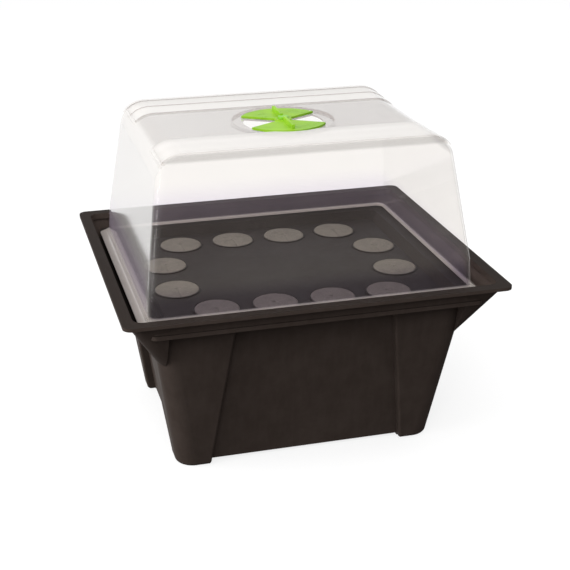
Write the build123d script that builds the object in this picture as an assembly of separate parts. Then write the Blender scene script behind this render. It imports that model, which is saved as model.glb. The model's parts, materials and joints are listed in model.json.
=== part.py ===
from build123d import *
import os
from math import cos, radians, sin

# Twelve-site propagator: a deep reservoir tank, a site tray that hangs on the tank's two inner
# ledges, a clear humidity dome with a rotary vent, and a pump that feeds spray heads under the
# tray. Millimetres, +Z up, origin at the centre of the footprint, long side along X.

FAR = 400.0                     # longer than the object is wide, for cutting tools
TOUCH = 0.05                    # points this close count as touching
CUT = 1.0                       # how far a cutting tool runs past what it cuts

# ---- tank ----
WALL = 3.0                      # moulded wall thickness
FOOT_X, FOOT_Y = 141.3, 113.3   # half sizes of the footprint
DRAFT_X, DRAFT_Y = 0.148, 0.187  # outward lean of the walls per unit of height
CORNER_R = 20.0                 # vertical corner radius of the tank
FOOT_H = 3.0                    # the corner feet stand this much lower than the floor
FOOT_ROUND, PILLAR_ROUND = 5.0, 2.5  # rounding under the feet and along the corner pillars
PANEL_DEPTH = 9.0               # the recessed middle panel of each wall
PANEL_X, PANEL_Y = 106.0, 78.0  # half widths of the panels at the foot
PANEL_TAPER = 0.136             # the panels get narrower with height
KNEE_Z = 131.0                  # the side walls flare outwards above this height
EAR_X, EAR_Y, EAR_Z = 194.7, 170.5, 192.0  # half sizes of the flare where it meets the rim
EAR_INNER = 154.0               # the flare stops here towards the middle of the front and back
EAR_R = 12.0
LEDGE_Z = 178.0                 # top of the ledge that carries the tray
BEAD_H = 1.5                    # a bead round the outside rises this much above the ledge
SHOULDER_X, SHOULDER_Y = 172.0, 166.0  # half sizes of the wall above the ledge
SHOULDER_STEP, SHOULDER_LEAN, SHOULDER_R = 2.0, 0.2, 6.0
RIM_X, RIM_Y, RIM_TOP, RIM_R = 200.0, 177.0, 195.5, 9.0
MOUTH_X, MOUTH_Y, MOUTH_R = 188.5, 165.0, 10.0  # the rim's opening
MOUTH_LEAN = 1.5                # the opening's long sides lean in this much below the rim
LIP_Z = 189.0                   # the opening is straight from the rim's top down to here

# ---- site tray ----
SKIN = 2.0                      # sheet thickness of the tray
PLATE_X, PLATE_Y, PLATE_TOP, PLATE_R = 151.0, 127.0, 172.0, 12.0
BRIM_X, BRIM_Y, BRIM_R = 179.5, 157.5, 10.0
BRIM_IN_X, BRIM_IN_Y, BRIM_TOP = 160.0, 138.0, 180.0
SITE_PITCH, FRONT_ROW, BACK_ROW = 62.0, -98.0, 96.0
ROW_SITES = 4
SIDE_COLUMN, SIDE_ROW = 122.5, 35.5
SOCKET_R, SOCKET_WALL, SOCKET_DEPTH, SEAT_R = 23.7, 1.8, 13.0, 19.5
SOCKET_LIP = 0.8                # the socket's rim stands this much above the plate
COLLAR_R, COLLAR_RISE, COLLAR_EDGE, SLIT = 23.3, 1.2, 0.5, 0.8

# ---- humidity dome ----
SHEET = 1.5                     # clear sheet thickness
DOME_FOOT_X, DOME_FOOT_Y, DOME_FOOT_Z = 170.0, 142.0, 184.5
DOME_WAIST_X, DOME_WAIST_Y, DOME_WAIST_Z = 168.6, 139.6, 214.0  # the wall is steeper below this
DOME_TOP_X, DOME_TOP_Y, DOME_TOP_Z = 151.0, 113.5, 340.6
DOME_FOOT_R, DOME_TOP_R = 9.0, 11.0
DOME_EDGE_R, PANEL_END_R = 9.0, 30.0  # rounding of the top's front and back edges, and of its ends
PANEL_PROUD = 0.3               # the ends' outline clears the flat part of the walls by this
PANEL_LOW, RIB_LOW = 300.0, 331.0  # the rounded ends and the ribs reach down to here
SKIRT_STEP, SKIRT_REACH, SKIRT_DROP, SKIRT_R = 3.0, 9.5, 4.3, 11.0
SKIRT_THIN = 0.15               # the flange thins towards its edge by this share of the sheet
RIB_OUT, RIB_EDGE_R = 114.0, 3.0  # the ribs' outer face, and the rounding along its top
RIB_STEPS = (                   # start, height, end radius, and how proud of the wall the ends stand
    (53.5, 1.3, 29.5, 0.6),
    (81.5, 1.9, 29.0, 0.9),
    (105.0, 2.6, 28.5, 1.2),
)
VENT_X, VENT_Y = 3.0, -4.0      # centre of the vent
VENT_R, VENT_WELL, VENT_FLOOR = 46.5, 54.5, 338.0  # the vent lies in a shallow round well
VENT_GAP = 0.4                  # running gap between the rotor and the panel
BLADE_ANGLE, PORT_ANGLE, PORT_R, PORT_HUB_R = 118.0, 56.0, 42.5, 12.0
BLADE_THICK, HUB_R, HUB_RISE = 2.2, 9.0, 1.0
GRIP_INNER, GRIP_OUTER, GRIP_HALF, GRIP_RISE = 6.0, 40.5, 1.6, 4.5
PIN_R, PIN_FIT, PIN_HEAD_R, PIN_HEAD_H, PIN_BARB_R, PIN_BARB_H = 3.0, 0.05, 5.5, 2.0, 4.5, 2.2
PIN_GAP = 0.3

# ---- pump ----
FLOOR_TOP = FOOT_H + WALL
CUP_H, CUP_R, CUP_NECK_R, CUP_EDGE = 6.0, 9.0, 3.5, 3.0
CUP_HOLLOW, CUP_SHOULDER_R, CUP_SHOULDER_H, CUP_NECK_H = 1.5, 5.0, 3.5, 4.2
CUP_INSET, CUP_OVERHANG, CUP_Y = 12.0, 8.0, 16.0
MOTOR_BACK, MOTOR_FRONT, MOTOR_Y, MOTOR_H = -76.0, -13.0, 27.0, 58.0
PUMP_LOW = FLOOR_TOP + CUP_H
PUMP_HIGH = PUMP_LOW + MOTOR_H
PUMP_EDGE_R = 6.0
VOLUTE_FRONT, VOLUTE_Y, VOLUTE_FACE = 13.0, 25.0, 4.0
SPIGOT_H, SPIGOT_R, SPIGOT_BORE = 16.0, 5.9, 4.0
STRAINER_LEN, STRAINER_WALL = 20.0, 2.0
STRAINER_FRONT = VOLUTE_FRONT + STRAINER_LEN
SLOT_H, SLOT_MARGIN = 3.0, 4.0
SIDE_SLOTS, SIDE_SLOT_PITCH, SIDE_SLOT_Z = 5, 8.5, 12.0
FACE_SLOTS, FACE_SLOT_PITCH, FACE_SLOT_Z, FACE_SLOT_Y, FACE_SLOT_W = 4, 10.0, 14.0, 18.0, 6.0
AXIS_Z = 40.0                   # height of the impeller's shaft
WELL_R, MAGNET_R, MAGNET_LEN = 11.0, 10.2, 40.0
WELL_BACK = MOTOR_FRONT - MAGNET_LEN - 8
MAGNET_BACK, MAGNET_FRONT = MOTOR_FRONT - MAGNET_LEN - 4, MOTOR_FRONT - 4
CHAMBER_R, INTAKE_R, SPIDER_H = 18.5, 8.0, 3.0
IMPELLER_R, WHEEL_BACK, WHEEL_THICK, NECK_R = 16.5, MOTOR_FRONT + 1, 3.0, 4.5
VANES, VANE_THICK, VANE_ROOT, VANE_FRONT = 6, 1.8, 3.0, VOLUTE_FRONT - 7
SHAFT_R, SHAFT_FIT, BUSH_R, BUSH_LEN, FRONT_BUSH_LEN = 1.5, 0.05, 4.0, 5.0, 3.0
KNOB_R, KNOB_GAP, KNOB_THICK, KNOB_SHANK_R, KNOB_FIT = 9.0, 0.4, 3.6, 4.0, 0.05
KNOB_GRIP, KNOB_GRIP_HALF = 4.0, 1.5
SHUTTER_BACK, SHUTTER_THICK = 6.0, 2.0
GLAND_Z, GLAND_R, GLAND_BORE, GLAND_STEP, GLAND_RIBS = AXIS_Z + 6, 7.0, 2.6, 3.0, 3
GLAND_RIB_R, GLAND_TAPER = 5.0, 0.5

# ---- spray manifold ----
PIPE_R, PIPE_BORE = 8.0, 6.0
SOCKET_OUT, SOCKET_HOLD = 10.5, 14.0
MANIFOLD_Z = 122.0
HUB_ARM, HUB_STOP, HUB_DROP = 26.0, 12.0, 22.0
RISER_STOP = 8.0
ARM_X, ARM_Y = 112.0, 84.0      # reach of the arms' end caps
CAP_LEN, CAP_END = 12.0, 2.5
JET_X, JET_Y = (52.0, 92.0), (38.0, 64.0)
JET_STEM, JET_ORIFICE, JET_R = 2.5, 0.8, 4.5
JET_COLLAR, JET_TOP, JET_ROOF, JET_CAP = 0.5, 4.0, 7.0, 8.5
JET_POST, JET_POST_W, JET_POST_D = 3.8, 1.2, 2.0


def plate(z, half_x, half_y, radius):
    """A rounded rectangle lying at height z."""
    return Plane.XY.offset(z) * RectangleRounded(2 * half_x, 2 * half_y, radius)


def taper(low, high):
    """A solid between two rounded rectangles, each given as (z, half x, half y, radius)."""
    return loft([plate(*low), plate(*high)], ruled=True)


def block(x0, x1, y0, y1, z0, z1):
    """An upright box between two corners."""
    return Pos((x0 + x1) / 2, (y0 + y1) / 2, (z0 + z1) / 2) * Box(x1 - x0, y1 - y0, z1 - z0)


def disc(radius, z0, z1, x=0.0, y=0.0):
    """An upright cylinder from z0 to z1."""
    return Pos(x, y, (z0 + z1) / 2) * Cylinder(radius, z1 - z0)


def rod(radius, x0, x1, y=0.0, z=0.0):
    """A cylinder along X from x0 to x1."""
    return Pos((x0 + x1) / 2, y, z) * Rot(0, 90, 0) * Cylinder(radius, x1 - x0)


def wall_x(z):
    return FOOT_X + DRAFT_X * z


def wall_y(z):
    return FOOT_Y + DRAFT_Y * z


def panel_half(width, z):
    """Half width of a recessed panel at height z."""
    return width - PANEL_TAPER * z


# ---------------------------------------------------------------- reservoir tank
def panel_recess(z0, z1, inset, in_front):
    """The wedge cut out of the front wall, or of the right one, to leave its panel set back."""
    sections = []
    for z in (z0, z1):
        if in_front:
            half = panel_half(PANEL_X, z) + inset
            face = PANEL_DEPTH + inset - wall_y(z)
            outline = Pos(0, face - FAR / 2, z) * Rectangle(2 * half, FAR)
        else:
            half = panel_half(PANEL_Y, z) + inset
            face = wall_x(z) - PANEL_DEPTH - inset
            outline = Pos(face + FAR / 2, 0, z) * Rectangle(FAR, 2 * half)
        sections.append(outline)
    return loft(sections, ruled=True)


def tank_form(inset, bottom):
    """The tank's form with every face moved in by inset, from bottom up to the ledge."""
    top = LEDGE_Z - WALL + inset
    form = taper(
        (bottom, wall_x(bottom) - inset, wall_y(bottom) - inset, CORNER_R - inset),
        (top, wall_x(top) - inset, wall_y(top) - inset, CORNER_R - inset),
    )
    front = panel_recess(bottom - CUT, LEDGE_Z - WALL - inset, inset, True)
    side = panel_recess(bottom - CUT, KNEE_Z, inset, False)
    form -= [front, Rot(0, 0, 180) * front, side, Rot(0, 0, 180) * side]
    relief = FOOT_H + inset
    wide_x = panel_half(PANEL_X, FOOT_H) + inset
    wide_y = panel_half(PANEL_Y, FOOT_H) + inset
    form -= block(-wide_x, wide_x, -FAR, FAR, -CUT, relief)
    form -= block(-FAR, FAR, -wide_y, wide_y, -CUT, relief)
    return form


def on_outer_wall(point):
    return max(abs(point.X) - wall_x(point.Z), abs(point.Y) - wall_y(point.Z)) > -TOUCH


def on_panel_side(point):
    """Whether a point lies on a side of a recessed panel."""
    gap_x = abs(point.X) - panel_half(PANEL_X, point.Z)
    gap_y = abs(point.Y) - panel_half(PANEL_Y, point.Z)
    return min(abs(gap_x), abs(gap_y)) < TOUCH


def rounded_tank_form():
    """The tank's outer form, with round edges under its feet and along its corner pillars."""
    form = tank_form(0.0, 0.0)
    sole = form.edges().filter_by(lambda e: e.bounding_box().max.Z < TOUCH and on_outer_wall(e @ 0.5))
    form = fillet(sole, FOOT_ROUND)
    tall = form.edges().filter_by(lambda e: e.bounding_box().size.Z > KNEE_Z / 2)
    pillars = tall.filter_by(lambda e: on_outer_wall(e @ 0.5) and on_panel_side(e @ 0.5))
    return fillet(pillars, PILLAR_ROUND)


def ears(inset, top):
    """The flared side pockets that carry the rim past the wall."""
    knee_x, knee_y = wall_x(KNEE_Z), wall_y(KNEE_Z)
    share = (top - KNEE_Z) / (EAR_Z - KNEE_Z)
    top_x = knee_x + (EAR_X - knee_x) * share
    top_y = knee_y + (EAR_Y - knee_y) * share
    flare = taper(
        (KNEE_Z, knee_x - inset, knee_y - inset, CORNER_R - inset),
        (top, top_x - inset, top_y - inset, EAR_R - inset / 2),
    )
    middle = block(-EAR_INNER - inset, EAR_INNER + inset, -FAR, FAR, 0, FAR)
    return flare - middle


def shoulder(inset, z0, z1):
    """The short upright wall above the ledge, leaning out a little."""
    low = SHOULDER_Y - SHOULDER_STEP - inset
    high = low + SHOULDER_LEAN * (z1 - LEDGE_Z)
    return taper((z0, SHOULDER_X - inset, low, SHOULDER_R), (z1, SHOULDER_X - inset, high, SHOULDER_R))


def slab(half_x, half_y, radius, z0, z1):
    """A flat plate with rounded corners."""
    return taper((z0, half_x, half_y, radius), (z1, half_x, half_y, radius))


def reservoir_tank():
    bottom = LEDGE_Z - WALL
    outer = rounded_tank_form() + ears(0.0, EAR_Z)
    outer += shoulder(0.0, bottom, EAR_Z + CUT / 2)
    outer += slab(SHOULDER_X, SHOULDER_Y, SHOULDER_R, bottom, LEDGE_Z + BEAD_H)
    outer += slab(RIM_X, RIM_Y, RIM_R, EAR_Z, RIM_TOP)
    cavity = tank_form(WALL, WALL) + ears(WALL, LIP_Z)
    cavity += shoulder(WALL, LEDGE_Z, LIP_Z)
    cavity += taper(
        (LIP_Z - CUT / 2, MOUTH_X, MOUTH_Y - MOUTH_LEAN, MOUTH_R),
        (RIM_TOP + CUT, MOUTH_X, MOUTH_Y, MOUTH_R),
    )
    return outer - cavity


# ---------------------------------------------------------------- site tray and collars
def site_places():
    """Centres of the twelve sites: four in front, four behind and two at each side."""
    middle = (ROW_SITES - 1) / 2
    rows = [(SITE_PITCH * (i - middle), y) for y in (FRONT_ROW, BACK_ROW) for i in range(ROW_SITES)]
    sides = [(x, y) for x in (-SIDE_COLUMN, SIDE_COLUMN) for y in (-SIDE_ROW, SIDE_ROW)]
    return rows + sides


def site_tray():
    """A flat pan with a brim, and a socket with an inner seat at each site."""
    low = BRIM_TOP - SKIN
    pan = taper((PLATE_TOP - SKIN, PLATE_X, PLATE_Y, PLATE_R), (low, BRIM_IN_X, BRIM_IN_Y, PLATE_R + SKIN))
    pan += slab(BRIM_X, BRIM_Y, BRIM_R, low, BRIM_TOP)
    pan -= taper(
        (PLATE_TOP, PLATE_X - SKIN, PLATE_Y - SKIN, PLATE_R - SKIN),
        (BRIM_TOP + TOUCH, BRIM_IN_X - SKIN, BRIM_IN_Y - SKIN, PLATE_R),
    )
    floor = PLATE_TOP - SOCKET_DEPTH
    for x, y in site_places():
        pan += disc(SOCKET_R + SOCKET_WALL, floor, PLATE_TOP + SOCKET_LIP, x, y)
        pan -= disc(SOCKET_R, floor + SKIN, PLATE_TOP + SOCKET_DEPTH, x, y)
        pan -= disc(SEAT_R, floor - CUT, PLATE_TOP, x, y)
    return pan


def foam_collar(x, y):
    """A round foam plug with one slit from its centre to its edge, which closes round a stem."""
    seat = PLATE_TOP - SOCKET_DEPTH + SKIN
    top = PLATE_TOP + COLLAR_RISE
    plug = disc(COLLAR_R, seat, top, x, y)
    plug -= block(x - SLIT / 2, x + SLIT / 2, y - COLLAR_R - CUT, y, seat - CUT, top + CUT)
    round_edges = plug.edges().filter_by(GeomType.CIRCLE)
    return chamfer(round_edges.group_by(Axis.Z)[-1].sort_by(SortBy.RADIUS)[-1], COLLAR_EDGE)


# ---------------------------------------------------------------- humidity dome
def dome_profile(low, rise, inset, proud, end_radius):
    """The dome's outline above low, seen from the front, rise above its top, with rounded ends."""
    lean = (DOME_WAIST_X - DOME_TOP_X) / (DOME_TOP_Z - DOME_WAIST_Z)
    high = DOME_TOP_Z + rise - inset
    half_low, half_high = (DOME_TOP_X + lean * (DOME_TOP_Z - z) + proud - inset for z in (low, high))
    outline = Polygon((-half_low, low), (half_low, low), (half_high, high), (-half_high, high), align=None)
    return fillet(outline.vertices().group_by(Axis.Y)[-1], end_radius - inset)


def dome_form(inset):
    """The dome's form with every face moved in by inset; its top edges are rounded."""
    waist = (DOME_WAIST_Z, DOME_WAIST_X - inset, DOME_WAIST_Y - inset, DOME_FOOT_R)
    form = taper((DOME_FOOT_Z - inset, DOME_FOOT_X - inset, DOME_FOOT_Y - inset, DOME_FOOT_R), waist)
    form += taper(waist, (DOME_TOP_Z - inset, DOME_TOP_X - inset, DOME_TOP_Y - inset, DOME_TOP_R))
    top = form.faces().sort_by(Axis.Z)[-1]
    form = fillet(top.edges(), DOME_EDGE_R - inset)
    zone = block(-FAR, FAR, -FAR, FAR, PANEL_LOW, DOME_TOP_Z + CUT)
    outline = dome_profile(PANEL_LOW, 0.0, inset, PANEL_PROUD, PANEL_END_R)
    return form - (zone - extrude(Plane.XZ * outline, FAR + CUT, both=True))


def dome_rib(side, inset):
    """A band across the dome's top that steps up towards the front or the back edge."""
    bands = []
    for start, rise, end_radius, proud in RIB_STEPS:
        y0, y1 = start + inset, RIB_OUT - inset
        outline = dome_profile(PANEL_LOW, rise, inset, proud, end_radius)
        band = extrude(Plane.XZ * outline, (y1 - y0) / 2, both=True)
        outer = band.faces().sort_by(Axis.Y)[-1 if side > 0 else 0]
        band = fillet(outer.edges().sort_by(Axis.Z)[1:], RIB_EDGE_R)
        band &= block(-FAR, FAR, -FAR, FAR, RIB_LOW + inset, FAR)
        bands.append(Pos(0, side * (y0 + y1) / 2, 0) * band)
    return bands[0] + bands[1:]


def dome_shell(inset):
    """The whole dome with every face moved in by inset, and the round well for its vent."""
    shell = dome_form(inset) + [dome_rib(side, inset) for side in (-1, 1)]
    return shell - Pos(VENT_X, VENT_Y, 0) * disc(VENT_WELL + inset, VENT_FLOOR - inset, FAR)


def sector(radius, angle, z0, z1, heading):
    """A slice of a disc, angle wide and centred on the given heading."""
    half = radians(angle / 2)
    side_x, side_y = 2 * radius * cos(half), 2 * radius * sin(half)
    wedge = Polygon((0, 0), (side_x, -side_y), (3 * radius, 0), (side_x, side_y), align=None)
    slice_of_disc = disc(radius, z0, z1) & extrude(Plane.XY.offset(z0) * wedge, z1 - z0)
    return Rot(0, 0, heading) * slice_of_disc


def dome_skirt(inset):
    """The dome's outward foot, a step and a sloping flange; inset gives the space under it."""
    low = DOME_FOOT_Z - SKIRT_DROP - inset
    high = DOME_FOOT_Z - inset
    step = SKIRT_STEP - inset
    reach = SKIRT_REACH - inset * SKIRT_THIN
    return taper(
        (low, DOME_FOOT_X + reach, DOME_FOOT_Y + reach, SKIRT_R),
        (high, DOME_FOOT_X + step, DOME_FOOT_Y + step, DOME_FOOT_R),
    )


def vent_openings():
    """The two ports under the rotor and the hole for its pin."""
    low, high = VENT_FLOOR - 2 * SHEET, VENT_FLOOR + 2 * SHEET
    openings = disc(PIN_R + PIN_FIT, low, high)
    for heading in (0, 180):
        openings += sector(PORT_R, PORT_ANGLE, low, high, heading) - disc(PORT_HUB_R, low - CUT, high + CUT)
    return openings


def humidity_dome():
    dome = dome_shell(0.0) + dome_skirt(0.0)
    hollow = dome_shell(SHEET) + dome_skirt(SHEET)
    return dome - hollow - Pos(VENT_X, VENT_Y, 0) * vent_openings()


def vent_rotor():
    """Two blades with a finger grip along each, turning on the pin over the ports."""
    z0 = VENT_FLOOR + VENT_GAP
    z1 = z0 + BLADE_THICK
    rotor = disc(HUB_R, z0, z1 + HUB_RISE)
    for heading in (90, 270):
        rotor += sector(VENT_R, BLADE_ANGLE, z0, z1, heading)
        grip = block(GRIP_INNER, GRIP_OUTER, -GRIP_HALF, GRIP_HALF, z1 - TOUCH, z1 + GRIP_RISE)
        rotor += Rot(0, 0, heading) * grip
    rotor -= disc(PIN_R + PIN_FIT, z0 - CUT, z1 + GRIP_RISE + CUT)
    return Pos(VENT_X, VENT_Y, 0) * rotor


def vent_pin():
    """The clip that holds the rotor down: a head above it, a shank and a barb under the sheet."""
    head_z = VENT_FLOOR + VENT_GAP + BLADE_THICK + HUB_RISE + PIN_GAP
    barb_z = VENT_FLOOR - SHEET - PIN_GAP
    top, low = head_z + PIN_HEAD_H, barb_z - PIN_BARB_H
    pin = disc(PIN_R, low, top) + disc(PIN_HEAD_R, head_z, top) + disc(PIN_BARB_R, low, barb_z)
    return Pos(VENT_X, VENT_Y, 0) * pin


# ---------------------------------------------------------------- pump
def pump_block(x0, x1, half_y):
    """A block of the pump's height with its edges along X rounded."""
    body = block(x0, x1, -half_y, half_y, PUMP_LOW, PUMP_HIGH)
    return fillet(body.edges().filter_by(Axis.X), PUMP_EDGE_R)


def pump_body():
    """The sealed motor block, with the rotor's well open at its front face."""
    body = pump_block(MOTOR_BACK, MOTOR_FRONT, MOTOR_Y)
    body -= rod(WELL_R, WELL_BACK, MOTOR_FRONT + CUT, 0, AXIS_Z)
    return body - rod(BUSH_R, WELL_BACK - BUSH_LEN, MOTOR_FRONT, 0, AXIS_Z)


def volute_cover():
    """The pump chamber in front of the motor, with its outlet spigot on top and its inlet in front."""
    inner_face = VOLUTE_FRONT - VOLUTE_FACE
    cover = pump_block(MOTOR_FRONT, VOLUTE_FRONT, VOLUTE_Y)
    cover += disc(SPIGOT_R, PUMP_HIGH - CUT, PUMP_HIGH + SPIGOT_H)
    cover -= rod(CHAMBER_R, MOTOR_FRONT - CUT, inner_face, 0, AXIS_Z)
    cover -= disc(SPIGOT_BORE, AXIS_Z, PUMP_HIGH + SPIGOT_H + CUT)
    cover -= rod(INTAKE_R, inner_face - CUT, VOLUTE_FRONT + CUT, 0, AXIS_Z)
    half = SPIDER_H / 2
    cover += block(inner_face, VOLUTE_FRONT, -INTAKE_R - 1, INTAKE_R + 1, AXIS_Z - half, AXIS_Z + half)
    cover += rod(BUSH_R + half, inner_face, VOLUTE_FRONT, 0, AXIS_Z)
    return cover - rod(BUSH_R, inner_face - CUT, inner_face + FRONT_BUSH_LEN, 0, AXIS_Z)


def slot_cut(x0, x1, y0, y1, z):
    return block(x0, x1, y0, y1, z - SLOT_H / 2, z + SLOT_H / 2)


def intake_strainer():
    """A slotted cap that keeps grit out of the inlet, with a round window for the flow regulator."""
    shell = pump_block(VOLUTE_FRONT, STRAINER_FRONT, VOLUTE_Y)
    inside = VOLUTE_Y - STRAINER_WALL
    shell -= block(
        VOLUTE_FRONT - CUT, STRAINER_FRONT - STRAINER_WALL, -inside, inside,
        PUMP_LOW + STRAINER_WALL, PUMP_HIGH - STRAINER_WALL,
    )
    side_x = (VOLUTE_FRONT + SLOT_MARGIN, STRAINER_FRONT - SLOT_MARGIN)
    for i in range(SIDE_SLOTS):
        z = PUMP_LOW + SIDE_SLOT_Z + SIDE_SLOT_PITCH * i
        shell -= slot_cut(*side_x, -VOLUTE_Y - CUT, VOLUTE_Y + CUT, z)
    face_x = (STRAINER_FRONT - STRAINER_WALL - CUT, STRAINER_FRONT + CUT)
    half = FACE_SLOT_W / 2
    for y in (-FACE_SLOT_Y, FACE_SLOT_Y):
        for i in range(FACE_SLOTS):
            z = PUMP_LOW + FACE_SLOT_Z + FACE_SLOT_PITCH * i
            shell -= slot_cut(*face_x, y - half, y + half, z)
    return shell - rod(KNOB_SHANK_R + KNOB_FIT, STRAINER_FRONT - SLOT_MARGIN, STRAINER_FRONT + CUT, 0, AXIS_Z)


def flow_regulator():
    """A knob in the strainer's front face that turns a half-round shutter behind it."""
    back = STRAINER_FRONT + KNOB_GAP
    face = back + KNOB_THICK
    grip = KNOB_R - CUT
    shutter_x = STRAINER_FRONT - SHUTTER_BACK
    knob = rod(KNOB_R, back, face, 0, AXIS_Z)
    bar_front = face + KNOB_GRIP
    knob += block(face - TOUCH, bar_front, -KNOB_GRIP_HALF, KNOB_GRIP_HALF, AXIS_Z - grip, AXIS_Z + grip)
    knob += rod(KNOB_SHANK_R, shutter_x, face, 0, AXIS_Z)
    shutter = rod(KNOB_R, shutter_x, shutter_x + SHUTTER_THICK, 0, AXIS_Z)
    return knob + (shutter & block(0, FAR, 0, FAR, 0, FAR))


def impeller():
    """The magnet rotor and its six vanes, turning on the fixed shaft."""
    wheel = rod(MAGNET_R, MAGNET_BACK, MAGNET_FRONT, 0, AXIS_Z)
    wheel += rod(NECK_R, MAGNET_FRONT - CUT, VANE_FRONT + CUT, 0, AXIS_Z)
    wheel += rod(IMPELLER_R, WHEEL_BACK, WHEEL_BACK + WHEEL_THICK, 0, AXIS_Z)
    half = VANE_THICK / 2
    for i in range(VANES):
        vane = block(WHEEL_BACK + WHEEL_THICK - CUT, VANE_FRONT, -half, half, VANE_ROOT, IMPELLER_R - TOUCH)
        wheel += Pos(0, 0, AXIS_Z) * Rot(360 / VANES * i, 0, 0) * vane
    return wheel - rod(SHAFT_R + SHAFT_FIT, MAGNET_BACK - CUT, VOLUTE_FRONT, 0, AXIS_Z)


def impeller_shaft():
    front = VOLUTE_FRONT - VOLUTE_FACE + FRONT_BUSH_LEN - CUT
    return rod(SHAFT_R, WELL_BACK - BUSH_LEN + CUT, front, 0, AXIS_Z)


def shaft_bush(x0, length):
    """A soft sleeve between the shaft's end and its pocket."""
    return rod(BUSH_R, x0, x0 + length, 0, AXIS_Z) - rod(SHAFT_R, x0 - CUT, x0 + length + CUT, 0, AXIS_Z)


def suction_cups():
    """Four rubber cups under the pump, each a neck on a flared cup."""
    profile = Polygon(
        (0, CUP_HOLLOW), (CUP_R - CUP_EDGE, 0), (CUP_R, 0), (CUP_SHOULDER_R, CUP_SHOULDER_H),
        (CUP_NECK_R, CUP_NECK_H), (CUP_NECK_R, CUP_H), (0, CUP_H),
        align=None,
    )
    cup = revolve(Plane.XZ * profile, Axis.Z)
    places = [(x, y) for x in (MOTOR_BACK + CUP_INSET, VOLUTE_FRONT + CUP_OVERHANG) for y in (-CUP_Y, CUP_Y)]
    return Compound([Pos(x, y, FLOOR_TOP) * cup for x, y in places])


def cable_gland():
    """The ribbed inlet at the pump's back where its lead would enter."""
    gland = rod(GLAND_R, MOTOR_BACK - GLAND_STEP, MOTOR_BACK, 0, GLAND_Z)
    for i in range(GLAND_RIBS):
        x = MOTOR_BACK - GLAND_STEP * (i + 1)
        gland += rod(GLAND_RIB_R - GLAND_TAPER * i, x - GLAND_STEP, x, 0, GLAND_Z)
    return gland - rod(GLAND_BORE, MOTOR_BACK - FAR, MOTOR_BACK - GLAND_STEP + CUT, 0, GLAND_Z)


# ---------------------------------------------------------------- spray manifold
def riser_pipe():
    low, high = PUMP_HIGH, MANIFOLD_Z - RISER_STOP
    return disc(PIPE_R, low, high) - disc(PIPE_BORE, low - CUT, high + CUT)


def manifold_hub():
    """The cross fitting on the riser, with a socket for each arm."""
    solid = disc(SOCKET_OUT, MANIFOLD_Z - HUB_DROP, MANIFOLD_Z)
    hollow = disc(PIPE_R, MANIFOLD_Z - HUB_DROP - CUT, MANIFOLD_Z - RISER_STOP)
    hollow += disc(PIPE_BORE, MANIFOLD_Z - RISER_STOP - CUT, MANIFOLD_Z)
    for turn in (0, 90, 180, 270):
        spin = Pos(0, 0, MANIFOLD_Z) * Rot(0, 0, turn)
        solid += spin * rod(SOCKET_OUT, 0, HUB_ARM)
        hollow += spin * rod(PIPE_R, HUB_STOP, HUB_ARM + CUT)
        hollow += spin * rod(PIPE_BORE, 0, HUB_STOP + CUT)
    return solid - hollow


def spray_arm(reach, jets, turn):
    """A pipe from the hub to its end cap, drilled along the top for its spray heads."""
    pipe = rod(PIPE_R, HUB_STOP, reach) - rod(PIPE_BORE, HUB_STOP - CUT, reach + CUT)
    for x in jets:
        pipe -= disc(JET_STEM, 0, PIPE_R + CUT, x)
    return Pos(0, 0, MANIFOLD_Z) * Rot(0, 0, turn) * pipe


def end_cap(reach, turn):
    cap = rod(SOCKET_OUT, reach - CAP_LEN, reach + CAP_END) - rod(PIPE_R, reach - CAP_LEN - CUT, reach)
    return Pos(0, 0, MANIFOLD_Z) * Rot(0, 0, turn) * cap


def spray_head(x, turn):
    """A small jet: a stem in the pipe, a collar on it and a deflector held over the orifice."""
    jet = disc(JET_STEM, PIPE_BORE - JET_COLLAR, PIPE_R + JET_TOP)
    jet += disc(JET_R, PIPE_R + JET_COLLAR, PIPE_R + JET_TOP)
    jet -= disc(JET_ORIFICE, 0, PIPE_R + JET_ROOF)
    jet += disc(JET_R, PIPE_R + JET_ROOF, PIPE_R + JET_CAP)
    wide, deep = JET_POST_W / 2, JET_POST_D / 2
    for side in (-JET_POST, JET_POST):
        jet += Pos(side, 0, PIPE_R) * block(-wide, wide, -deep, deep, JET_TOP - TOUCH, JET_ROOF + TOUCH)
    return Pos(0, 0, MANIFOLD_Z) * Rot(0, 0, turn) * Pos(x, 0, 0) * jet


# ---------------------------------------------------------------- parts
def all_parts():
    nodes = {
        "reservoir_tank": reservoir_tank(),
        "site_tray": site_tray(),
        "humidity_dome": humidity_dome(),
        "vent_rotor": vent_rotor(),
        "vent_pin": vent_pin(),
        "pump_body": pump_body(),
        "volute_cover": volute_cover(),
        "intake_strainer": intake_strainer(),
        "flow_regulator": flow_regulator(),
        "impeller": impeller(),
        "impeller_shaft": impeller_shaft(),
        "rear_bush": shaft_bush(WELL_BACK - BUSH_LEN, BUSH_LEN),
        "front_bush": shaft_bush(VOLUTE_FRONT - VOLUTE_FACE, FRONT_BUSH_LEN),
        "suction_cups": suction_cups(),
        "cable_gland": cable_gland(),
        "riser_pipe": riser_pipe(),
        "manifold_hub": manifold_hub(),
    }
    arms = (
        ("right", ARM_X, JET_X, 0),
        ("back", ARM_Y, JET_Y, 90),
        ("left", ARM_X, JET_X, 180),
        ("front", ARM_Y, JET_Y, 270),
    )
    for side, reach, jets, turn in arms:
        nodes[f"spray_arm_{side}"] = spray_arm(reach, jets, turn)
        nodes[f"end_cap_{side}"] = end_cap(reach, turn)
        for place, x in zip(("inner", "outer"), jets):
            nodes[f"spray_head_{side}_{place}"] = spray_head(x, turn)
    for number, (x, y) in enumerate(site_places(), 1):
        nodes[f"foam_collar_{number:02d}"] = foam_collar(x, y)
    return nodes


os.makedirs("parts", exist_ok=True)
for name, shape in all_parts().items():
    export_step(shape, f"parts/{name}.step")
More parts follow.
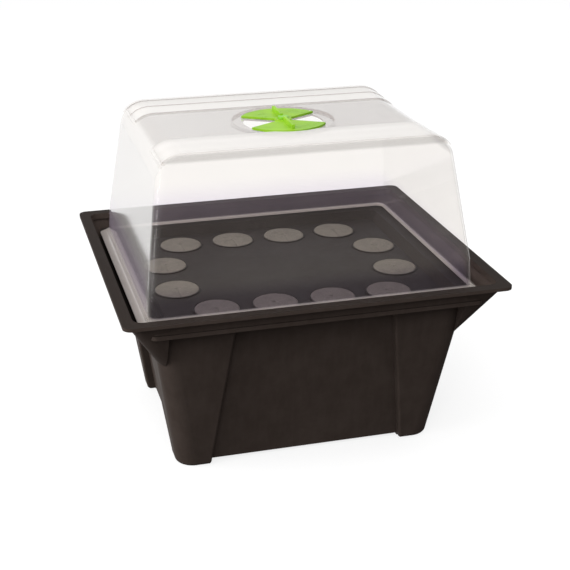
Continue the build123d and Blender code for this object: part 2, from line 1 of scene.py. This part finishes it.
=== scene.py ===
import json
import math

import bmesh
import bpy
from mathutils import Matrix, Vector


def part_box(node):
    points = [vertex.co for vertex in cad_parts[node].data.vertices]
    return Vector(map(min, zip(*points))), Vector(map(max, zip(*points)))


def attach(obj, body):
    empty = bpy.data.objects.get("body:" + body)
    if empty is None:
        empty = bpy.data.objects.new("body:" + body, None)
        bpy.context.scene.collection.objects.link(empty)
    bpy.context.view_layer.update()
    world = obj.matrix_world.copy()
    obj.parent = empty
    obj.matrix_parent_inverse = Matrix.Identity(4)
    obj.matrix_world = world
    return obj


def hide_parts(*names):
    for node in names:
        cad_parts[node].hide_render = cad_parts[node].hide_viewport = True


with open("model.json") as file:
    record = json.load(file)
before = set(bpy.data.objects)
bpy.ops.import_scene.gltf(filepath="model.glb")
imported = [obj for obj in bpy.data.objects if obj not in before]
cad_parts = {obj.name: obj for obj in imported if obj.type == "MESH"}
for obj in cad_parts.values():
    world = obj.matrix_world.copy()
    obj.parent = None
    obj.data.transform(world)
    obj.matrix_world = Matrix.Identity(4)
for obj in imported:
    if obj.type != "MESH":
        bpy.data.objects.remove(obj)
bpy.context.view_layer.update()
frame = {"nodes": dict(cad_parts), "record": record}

# Looks for the propagator: moulded tank and tray, a hazy clear dome with its green vent, foam
# collars, and the pump with its spray arms. Metres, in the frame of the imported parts.

MM = 0.001
nodes = frame["nodes"]
body_of_node = {
    node: body
    for body, names in frame["record"]["behaviour"]["bodies"].items()
    for node in names
}


def colour(r, g, b):
    return (r, g, b, 1.0)


WHITE = colour(1.0, 1.0, 1.0)

# ---------------------------------------------------------------- camera and light
AZIMUTH, ELEVATION, DISTANCE = math.radians(-15.45), math.radians(22.3), 1.2843
TARGET = Vector((-0.0212, -0.0991, 0.1911))
LENS = 78.7
SKY_TO_BACK, SKY_TO_LEFT = 0.6, -0.4  # how far the sky's light side leans from straight up
DARK_TO_WHITE = (-0.5, 0.3)      # where the sky turns from dark to white, along that direction
DARK_SKY, SKY_STRENGTH = colour(0.16, 0.15, 0.15), 0.95
FLOOR_REACH = 80.0               # far enough that its edge stays at the horizon
FLOOR_GREY, FLOOR_GLOW, FLOOR_ROUGHNESS = colour(0.26, 0.26, 0.26), 0.76, 0.9
SOFTBOXES = (                    # name, place, aim, width, height, power, and whether gloss shows it
    ("top_box", (-0.3, -0.4, 1.5), (0, 0, 0.2), 1.4, 1.4, 9.0, False),
    ("left_box", (-1.3, -0.2, 0.7), (0, 0, 0.2), 1.0, 0.8, 10.0, False),
    ("left_strip", (-1.4, -0.35, 0.25), (0, 0, 0.25), 0.10, 0.9, 5.0, True),
    ("front_box", (-0.5, -1.6, 1.2), (0, 0, 0.15), 0.8, 0.8, 11.0, False),
)


def aim(obj, target):
    obj.rotation_mode = "QUATERNION"
    obj.rotation_quaternion = (Vector(target) - obj.location).to_track_quat("-Z", "Y")


def make_camera():
    back = Vector((
        math.sin(AZIMUTH) * math.cos(ELEVATION),
        -math.cos(AZIMUTH) * math.cos(ELEVATION),
        math.sin(ELEVATION),
    ))
    camera = bpy.data.objects.new("camera", bpy.data.cameras.new("camera"))
    camera.data.lens = LENS
    camera.location = TARGET + DISTANCE * back
    aim(camera, TARGET)
    bpy.context.scene.collection.objects.link(camera)
    bpy.context.scene.camera = camera


def make_softbox(name, place, target, width, height, power, mirrored):
    lamp = bpy.data.lights.new(name, "AREA")
    lamp.shape = "RECTANGLE"
    lamp.size, lamp.size_y = width, height
    lamp.energy = power
    obj = bpy.data.objects.new(name, lamp)
    obj.location = place
    aim(obj, target)
    obj.visible_camera = False
    obj.visible_glossy = mirrored
    bpy.context.scene.collection.objects.link(obj)


class Nodes:
    """A node tree, with a short call to add a node and set or join its inputs."""

    def __init__(self, owner):
        owner.use_nodes = True
        self.tree = owner.node_tree
        self.tree.nodes.clear()

    def put(self, socket, value):
        """Join value to socket if it is itself a socket, or set it."""
        if isinstance(value, bpy.types.NodeSocket):
            self.tree.links.new(value, socket)
        else:
            socket.default_value = value

    def add(self, kind, inputs=(), **settings):
        node = self.tree.nodes.new("ShaderNode" + kind)
        for key, value in settings.items():
            setattr(node, key, value)
        for key, value in dict(inputs).items():
            self.put(node.inputs[key], value)
        return node

    def out(self, kind, inputs=(), **settings):
        """The first output of a new node."""
        return self.add(kind, inputs, **settings).outputs[0]

    def value(self, operation, a, b=0.0):
        return self.out("Math", {0: a, 1: b}, operation=operation)

    def product(self, first, *others):
        for other in others:
            first = self.value("MULTIPLY", first, other)
        return first

    def between(self, value, low, high, to_low=0.0, to_high=1.0):
        """value from low to high, mapped smoothly to to_low and to_high."""
        inputs = {"Value": value, "From Min": low, "From Max": high, "To Min": to_low, "To Max": to_high}
        return self.out("MapRange", inputs, interpolation_type="SMOOTHSTEP")

    def blend(self, share, a, b):
        """A mix of two colours."""
        mix = self.add("Mix", data_type="RGBA")
        for index, value in ((0, share), (6, a), (7, b)):
            self.put(mix.inputs[index], value)
        return mix.outputs[2]

    def noise(self, where, scale, detail, **others):
        return self.out("TexNoise", {"Vector": where, "Scale": scale, "Detail": detail, **others})

    def surface(self, shader):
        self.add("OutputMaterial", {"Surface": shader})


def make_world():
    """A white studio, dark only low in front of the object."""
    world = bpy.data.worlds.new("studio")
    bpy.context.scene.world = world
    n = Nodes(world)
    way = n.add("SeparateXYZ", {0: n.add("TexCoord").outputs["Generated"]})
    back = n.value("MULTIPLY", way.outputs["Y"], SKY_TO_BACK)
    left = n.value("MULTIPLY", way.outputs["X"], SKY_TO_LEFT)
    share = n.between(n.value("ADD", way.outputs["Z"], n.value("ADD", back, left)), *DARK_TO_WHITE)
    sky = n.blend(share, DARK_SKY, WHITE)
    n.add("OutputWorld", {"Surface": n.out("Background", {"Color": sky, "Strength": SKY_STRENGTH})})


def make_floor():
    """A pale floor that glows, so that it meets the white sky without an edge."""
    mesh = bpy.data.meshes.new("floor")
    reach = FLOOR_REACH
    corners = [(-reach, -reach, 0), (reach, -reach, 0), (reach, reach, 0), (-reach, reach, 0)]
    mesh.from_pydata(corners, [], [(0, 1, 2, 3)])
    floor = bpy.data.objects.new("floor", mesh)
    material = bpy.data.materials.new("pale_floor")
    n = Nodes(material)
    n.surface(n.out("BsdfPrincipled", {
        "Base Color": FLOOR_GREY,
        "Roughness": FLOOR_ROUGHNESS,
        "Specular IOR Level": 0.0,
        "Emission Color": WHITE,
        "Emission Strength": FLOOR_GLOW,
    }))
    mesh.materials.append(material)
    floor.visible_glossy = False
    floor.visible_diffuse = False
    bpy.context.scene.collection.objects.link(floor)


# ---------------------------------------------------------------- moulded plastics
GRAIN, GRAIN_HEIGHT, GRAIN_STRENGTH = 0.7 * MM, 0.02 * MM, 0.35
MOTTLE = 30.0 * MM
FLOW_STRETCH, FLOW_SCALE = (1.0, 1.0, 0.12), 160.0
MOTTLE_SHARE, FLOW_SHARE = 0.7, 0.3
ROUGHNESS_SPREAD = 0.06
LEVEL_NORMAL = (0.6, 0.95)       # from a wall to a level face, where the painted shade ramps in, by how far its normal points up or down
PLASTICS = {                     # dark colour, light colour, roughness, specular level, painted shade on level faces
    "tank_plastic": (colour(0.040, 0.0300, 0.0255), colour(0.051, 0.0390, 0.0335), 0.5, 0.02, 0.45),
    "tray_plastic": (colour(0.021, 0.0152, 0.0133), colour(0.027, 0.0205, 0.0180), 0.45, 0.08, 0.75),
    "vent_clip": (colour(0.15, 0.42, 0.012), colour(0.22, 0.52, 0.02), 0.35, 0.5, 1.0),
    "pump_plastic": (colour(0.010, 0.011, 0.013), colour(0.018, 0.019, 0.022), 0.4, 0.45, 1.0),
    "knob_plastic": (colour(0.012, 0.012, 0.013), colour(0.020, 0.020, 0.021), 0.35, 0.5, 1.0),
    "rotor_plastic": (colour(0.045, 0.045, 0.052), colour(0.07, 0.07, 0.08), 0.4, 0.5, 1.0),
    "shaft_ceramic": (colour(0.72, 0.70, 0.66), colour(0.80, 0.79, 0.75), 0.2, 0.5, 1.0),
    "soft_rubber": (colour(0.012, 0.012, 0.012), colour(0.022, 0.021, 0.02), 0.65, 0.3, 1.0),
    "pipe_plastic": (colour(0.24, 0.25, 0.26), colour(0.30, 0.31, 0.32), 0.38, 0.45, 1.0),
    "jet_plastic": (colour(0.012, 0.012, 0.013), colour(0.022, 0.022, 0.023), 0.35, 0.5, 1.0),
}


def moulded(name, dark, light, roughness, specular, painted_level_shade):
    """Moulded plastic: fine grain, broad mottling and faint vertical flow marks.

    Level faces carry painted shade: their colour is scaled darker than the walls' colour by the given factor.
    """
    material = bpy.data.materials.new(name)
    n = Nodes(material)
    coordinates = n.add("TexCoord")
    where = coordinates.outputs["Object"]
    normal = n.add("SeparateXYZ", {0: coordinates.outputs["Normal"]})
    level = n.value("ABSOLUTE", normal.outputs["Z"])
    grain = n.noise(where, 1 / GRAIN, 3.0, Roughness=0.6)
    mottle = n.noise(where, 1 / MOTTLE, 5.0, Roughness=0.65)
    stretched = n.out("Mapping", {"Vector": where, "Scale": FLOW_STRETCH})
    flow = n.noise(stretched, FLOW_SCALE, 3.0, Roughness=0.5)
    share = n.value("ADD", n.product(mottle, MOTTLE_SHARE), n.product(flow, FLOW_SHARE))
    base = n.blend(n.between(share, 0.3, 0.7), dark, light)
    # painted shade: level faces are darkened against the walls
    painted_shade = n.between(level, *LEVEL_NORMAL, 1.0, painted_level_shade)
    base = n.out("VectorMath", {0: base, "Scale": painted_shade}, operation="SCALE")
    rough = n.between(share, 0.25, 0.75, roughness - ROUGHNESS_SPREAD, roughness + ROUGHNESS_SPREAD)
    bump = n.out("Bump", {"Height": grain, "Strength": GRAIN_STRENGTH, "Distance": GRAIN_HEIGHT})
    n.surface(n.out("BsdfPrincipled", {
        "Base Color": base,
        "Roughness": rough,
        "Normal": bump,
        "Specular IOR Level": specular,
    }))
    return material


# ---------------------------------------------------------------- the dome's clear sheet
DOME_MIDDLE = (0.0, 0.0, 0.26)   # a point inside the dome, which tells its outer faces from its inner
TOP_FROM = (332 * MM, 336 * MM)  # the dome's top starts here
PANEL_EDGE = 53.5 * MM           # half the width of the middle panel
STEP_EDGES = (53.5 * MM, 81.5 * MM, 105.0 * MM)  # the ribs' steps, from the centre line
CREASE = (0.3 * MM, 1.1 * MM)    # half the width of the painted shade line along a step, where it starts to fade
PANEL_SHADE_FADE = (-150 * MM, 80 * MM, 0.7, 1.0)  # from left to right, and the share of the panel's painted shade at each
FRONT_CLEAR = (-135 * MM, -110 * MM)  # the front wall, up to here, has no painted low shade
LOW_SHADE_BAND = (196 * MM, 240 * MM)
FOOT_SHADE_BAND = (196 * MM, 220 * MM)
BACK_FACING = 120 * MM           # a back wall's distance behind the middle, times its normal
FLANGE_TOP = (186 * MM, 188 * MM)
# The middle panel's grey is painted shade, standing in for the darker surroundings it mirrors.
CLEAR, PANEL_PAINTED_SHADE = colour(0.990, 0.982, 0.974), colour(0.745, 0.72, 0.71)
# Painted shade and painted reflection low on the walls and at the back's foot: a darker purple tint stands in
# for the tank below, seen and mirrored in the sheet.
LOW_PAINTED_SHADE, FOOT_PAINTED_SHADE = colour(0.95, 0.93, 0.97), colour(0.74, 0.71, 0.77)
# Painted shade on the step risers and in thin lines along the steps' creases.
RISER_PAINTED_SHADE, CREASE_PAINTED_SHADE = colour(0.84, 0.83, 0.82), colour(0.70, 0.68, 0.67)
EDGE_TINT, EDGE_SHADE = colour(0.40, 0.39, 0.39), 0.35  # a sheet seen edge-on darkens what is behind it
# Low down the milk is painted darker and purple, a painted reflection of the tank below.
MILK, LOW_PAINTED_MILK, FLANGE_MILK = colour(0.96, 0.93, 0.90), colour(0.72, 0.62, 0.76), colour(0.95, 0.88, 0.82)
VEIL, LOW_PAINTED_VEIL, FLANGE_VEIL = (0.008, 0.016), 0.06, 0.26  # shares of milk in the sheet
OUTER_HAZE, RIB_HAZE, MOST_HAZE = 0.75, 0.25, 0.9
FACE_MIRROR, OUTER_MIRROR, INNER_MIRROR, MOST_MIRROR = 0.015, 1.3, 0.25, 0.85
MIRROR_ROUGHNESS = 0.1


def clear_dome_sheet():
    """Clear formed sheet: a faint haze, mirror edges and milky ribs, with painted shade on the middle panel,
    the step risers, the creases and low on the walls.
    """
    material = bpy.data.materials.new("dome_clear")
    n = Nodes(material)
    coordinates = n.add("TexCoord")
    place, normal = coordinates.outputs["Object"], coordinates.outputs["Normal"]
    where = n.add("SeparateXYZ", {0: place})
    x, y, height = (where.outputs[axis] for axis in "XYZ")
    aside = n.value("ABSOLUTE", y)
    facing = n.add("SeparateXYZ", {0: normal})
    upright = n.value("ABSOLUTE", facing.outputs["Z"])
    outward = n.out("VectorMath", {0: place, 1: DOME_MIDDLE}, operation="SUBTRACT")
    along = n.add("VectorMath", {0: outward, 1: normal}, operation="DOT_PRODUCT").outputs["Value"]
    front = n.value("SUBTRACT", 1.0, n.add("NewGeometry").outputs["Backfacing"])
    outside = n.product(n.value("GREATER_THAN", along, 0.0), front)
    grazing = n.add("LayerWeight", {"Blend": 0.5}).outputs["Facing"]
    cloud = n.noise(place, 9.0, 4.0, Roughness=0.55)

    top = n.between(height, *TOP_FROM)
    flat = n.between(upright, 0.6, 0.9)
    inner_edge = PANEL_EDGE - 0.5 * MM
    # painted shade on the middle panel, lighter to the left
    painted_panel_shade = n.product(top, n.between(aside, inner_edge, PANEL_EDGE, 1.0, 0.0), n.between(x, *PANEL_SHADE_FADE))
    rib = n.product(top, n.between(aside, inner_edge, PANEL_EDGE))
    # painted shade in thin lines along the steps
    near = 0.0
    for step in STEP_EDGES:
        off = n.value("ABSOLUTE", n.value("SUBTRACT", aside, step))
        near = n.value("MAXIMUM", near, n.between(off, *CREASE, 1.0, 0.0))
    painted_crease_shade = n.product(top, near)
    # painted shade on the risers
    painted_riser_shade = n.product(top, n.value("SUBTRACT", 1.0, flat), rib)
    # painted shade low on the walls, kept off the front wall, and darker painted shade at the foot of the
    # back wall
    low = n.product(n.between(height, *LOW_SHADE_BAND, 1.0, 0.0), n.between(y, *FRONT_CLEAR))
    at_back = n.between(n.product(facing.outputs["Y"], y), 0.0, BACK_FACING)
    painted_foot_shade = n.product(n.between(height, *FOOT_SHADE_BAND, 1.0, 0.0), at_back)
    flange = n.between(height, *FLANGE_TOP, 1.0, 0.0)

    # the sheet's own clear tint, with painted shade laid over it
    tint_and_painted_shade = n.blend(low, CLEAR, LOW_PAINTED_SHADE)
    for share, other in ((painted_foot_shade, FOOT_PAINTED_SHADE), (painted_panel_shade, PANEL_PAINTED_SHADE), (painted_riser_shade, RISER_PAINTED_SHADE), (painted_crease_shade, CREASE_PAINTED_SHADE)):
        tint_and_painted_shade = n.blend(share, tint_and_painted_shade, other)
    tint_and_painted_shade = n.blend(n.product(n.value("POWER", grazing, 6.0), EDGE_SHADE), tint_and_painted_shade, EDGE_TINT)
    # low down the milk is painted purple, a painted reflection of the tank
    milk_colour = n.blend(flange, n.blend(low, MILK, LOW_PAINTED_MILK), FLANGE_MILK)

    haze = n.between(cloud, 0.3, 0.7, *VEIL)
    grazed = n.product(n.value("POWER", grazing, 3.0), outside)
    # more of the painted purple milk low down
    for share, amount in ((low, LOW_PAINTED_VEIL), (flange, FLANGE_VEIL), (grazed, OUTER_HAZE)):
        haze = n.value("ADD", haze, n.product(share, amount))
    haze = n.value("ADD", haze, n.product(rib, flat, RIB_HAZE))
    see = n.out("BsdfTransparent", {"Color": tint_and_painted_shade})
    milk = n.out("BsdfDiffuse", {"Color": milk_colour})
    glow = n.out("BsdfTranslucent", {"Color": milk_colour})
    cloudy = n.out("MixShader", {0: 0.5, 1: milk, 2: glow})
    body = n.out("MixShader", {0: n.value("MINIMUM", haze, MOST_HAZE), 1: see, 2: cloudy})
    gloss = n.out("BsdfGlossy", {"Color": WHITE, "Roughness": MIRROR_ROUGHNESS})
    strength = n.value("ADD", n.product(outside, OUTER_MIRROR - INNER_MIRROR), INNER_MIRROR)
    mirror = n.value("ADD", n.product(n.value("POWER", grazing, 5.0), strength), FACE_MIRROR)
    n.surface(n.out("MixShader", {0: n.value("MINIMUM", mirror, MOST_MIRROR), 1: body, 2: gloss}))
    return material


# ---------------------------------------------------------------- vent and foam
DARK_LIME, LIGHT_LIME, LIME_GLOW = colour(0.29, 0.57, 0.015), colour(0.38, 0.66, 0.04), 0.35
LIME_GRAIN_HEIGHT = 0.02 * MM
DARK_FOAM, LIGHT_FOAM = colour(0.10, 0.088, 0.077), colour(0.17, 0.153, 0.134)
PORE_SHARE, SOFT_SHARE, PORE_DEPTH = 0.5, 0.6, 0.25 * MM


def vent_plastic():
    """Lime plastic that glows a little where light comes through."""
    material = bpy.data.materials.new("vent_green")
    n = Nodes(material)
    place = n.add("TexCoord").outputs["Object"]
    cloud = n.noise(place, 45.0, 3.0)
    base = n.blend(n.between(cloud, 0.35, 0.65), DARK_LIME, LIGHT_LIME)
    grain = n.noise(place, 1500.0, 2.0)
    bump = n.out("Bump", {"Height": grain, "Strength": 0.3, "Distance": LIME_GRAIN_HEIGHT})
    solid = n.out("BsdfPrincipled", {
        "Base Color": base,
        "Roughness": n.between(cloud, 0.3, 0.7, 0.25, 0.38),
        "Normal": bump,
        "Specular IOR Level": 0.25,
    })
    glow = n.out("BsdfTranslucent", {"Color": base})
    n.surface(n.out("MixShader", {0: LIME_GLOW, 1: solid, 2: glow}))
    return material


def collar_foam():
    """Closed-cell foam: a dark grey skin with fine pores."""
    material = bpy.data.materials.new("collar_foam")
    n = Nodes(material)
    place = n.add("TexCoord").outputs["Object"]
    pores = n.out("TexVoronoi", {"Vector": place, "Scale": 900.0})
    soft = n.noise(place, 120.0, 5.0, Roughness=0.7)
    mix = n.value("ADD", n.product(pores, PORE_SHARE), n.product(soft, SOFT_SHARE))
    base = n.blend(n.between(mix, 0.3, 0.8), DARK_FOAM, LIGHT_FOAM)
    bump = n.out("Bump", {"Height": mix, "Strength": 0.6, "Distance": PORE_DEPTH})
    n.surface(n.out("BsdfPrincipled", {
        "Base Color": base,
        "Roughness": n.between(soft, 0.3, 0.7, 0.75, 0.9),
        "Normal": bump,
        "Specular IOR Level": 0.25,
    }))
    return material


def make_materials():
    made = {name: moulded(name, *values) for name, values in PLASTICS.items()}
    made["dome_clear"] = clear_dome_sheet()
    made["vent_green"] = vent_plastic()
    made["collar_foam"] = collar_foam()
    return made


def dress_cad_nodes(materials):
    for obj in nodes.values():
        for slot in obj.material_slots:
            slot.material = materials[slot.material.name.split(".")[0]]


# ---------------------------------------------------------------- foam collars
COLLAR_TURN = 96                 # divisions round a collar
COLLAR_EDGE, COLLAR_CROWN, COLLAR_WAIST = 0.5 * MM, 0.4 * MM, 0.15 * MM
EDGE_STEPS = 5                   # divisions of each rounded edge
CROWN_RADII = (0.92, 0.8, 0.62, 0.4, 0.2)  # shares of the top's radius
CENTRE_GAP = 0.05 * MM           # keeps the section's inner side off the axis
OPEN_SLIT, SHUT_SLIT = 0.45 * MM, 0.04 * MM
OPEN_COLLAR = "foam_collar_01"   # the one whose slit shows


def collar_outline(radius, low, high, slit):
    """Half of a collar's section as (r, z), from the base's centre round to the top's centre."""
    edge, crown = COLLAR_EDGE, COLLAR_CROWN
    inner, flat = slit / 2 + CENTRE_GAP, radius - edge
    turns = [math.pi / 2 * i / EDGE_STEPS for i in range(1, EDGE_STEPS)]
    points = [(inner, low), (radius * 0.5, low), (flat, low)]
    points += [(flat + edge * math.sin(a), low + edge - edge * math.cos(a)) for a in turns]
    points += [(radius, low + edge), (radius - COLLAR_WAIST, (low + high) / 2), (radius, high - edge - crown)]
    points += [(flat + edge * math.cos(a), high - crown - edge + edge * math.sin(a)) for a in turns]
    points += [(flat * share, high - crown * share ** 3) for share in CROWN_RADII]
    points.append((inner, high))
    return points


def make_collar(name, material):
    low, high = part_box(name)
    centre = (low + high) / 2
    slit = OPEN_SLIT if name == OPEN_COLLAR else SHUT_SLIT
    outline = collar_outline((high.x - low.x) / 2, low.z, high.z, slit)
    mesh = bpy.data.meshes.new(name + "_foam")
    bm = bmesh.new()
    sections = []
    for j in range(COLLAR_TURN + 1):
        share = j / COLLAR_TURN
        section = []
        for r, z in outline:
            gap = math.asin(min(1.0, slit / 2 / r))
            angle = -math.pi / 2 + gap + (2 * math.pi - 2 * gap) * share
            section.append(bm.verts.new((centre.x + r * math.cos(angle), centre.y + r * math.sin(angle), z)))
        sections.append(section)
    count = len(outline)
    for first, second in zip(sections, sections[1:]):
        for i in range(count):
            k = (i + 1) % count
            bm.faces.new((first[i], second[i], second[k], first[k]))
    bm.faces.new(sections[0])
    bm.faces.new(list(reversed(sections[-1])))
    bmesh.ops.recalc_face_normals(bm, faces=bm.faces)
    bm.to_mesh(mesh)
    bm.free()
    mesh.materials.append(material)
    for face in mesh.polygons:
        face.use_smooth = len(face.vertices) == 4
    obj = bpy.data.objects.new(name + "_foam", mesh)
    bpy.context.scene.collection.objects.link(obj)
    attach(obj, body_of_node[name])
    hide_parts(name)


# ---------------------------------------------------------------- the scene
make_camera()
make_world()
make_floor()
for values in SOFTBOXES:
    make_softbox(*values)
bpy.context.scene.view_settings.view_transform = "Standard"

materials = make_materials()
dress_cad_nodes(materials)
for name in sorted(nodes):
    if name.startswith("foam_collar"):
        make_collar(name, materials["collar_foam"])
